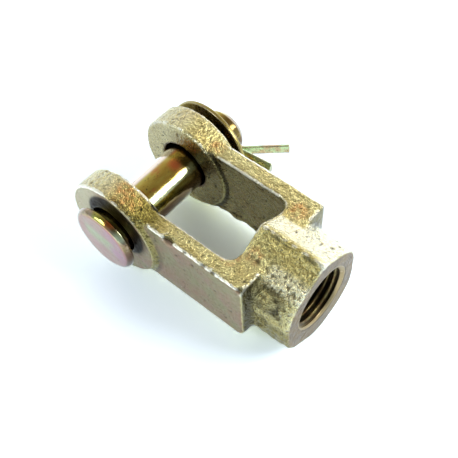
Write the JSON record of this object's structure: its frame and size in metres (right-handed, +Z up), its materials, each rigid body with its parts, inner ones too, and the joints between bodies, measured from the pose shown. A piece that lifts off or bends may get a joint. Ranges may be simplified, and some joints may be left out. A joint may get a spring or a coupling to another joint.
{
  "type": "clevis rod end",
  "caption": "Forged fork end with round eyes and a threaded socket, carrying a headed clevis pin, washer and split pin, to join a rod to a lever.",
  "frame": {"origin": "where the axis of the eye holes crosses the socket axis, midway between the arms", "axes": "+X along the socket axis, out of the threaded mouth; +Y along the eye axis, from the pin's head to its split pin; +Z up as it lies on its side"},
  "size_m": [0.0619, 0.0501, 0.0274],
  "materials": {
    "plated_forging": "yellow zinc plate over a rough forged skin, with worn bright edges",
    "plated_pin": "smooth yellow zinc plate with an iridescent film",
    "plated_washer": "yellow zinc plate with bright worn edges",
    "plated_wire": "light zinc plate with an iridescent film"
  },
  "bodies": {
    "fork": {"yoke": "plated_forging"},
    "pin": {"clevis_pin": "plated_pin", "split_pin": "plated_wire"},
    "ring": {"washer": "plated_washer"}
  },
  "joints": [
    {"name": "pin_turn", "type": "hinge", "parent": "fork", "child": "pin", "pos_m": [0, 0, -0.00055], "axis": [0, 1, 0], "continuous": true},
    {"name": "washer_slide", "type": "slide", "parent": "pin", "child": "ring", "axis": [0, 1, 0], "range_m": [-0.00065, 0.0001]}
  ]
}
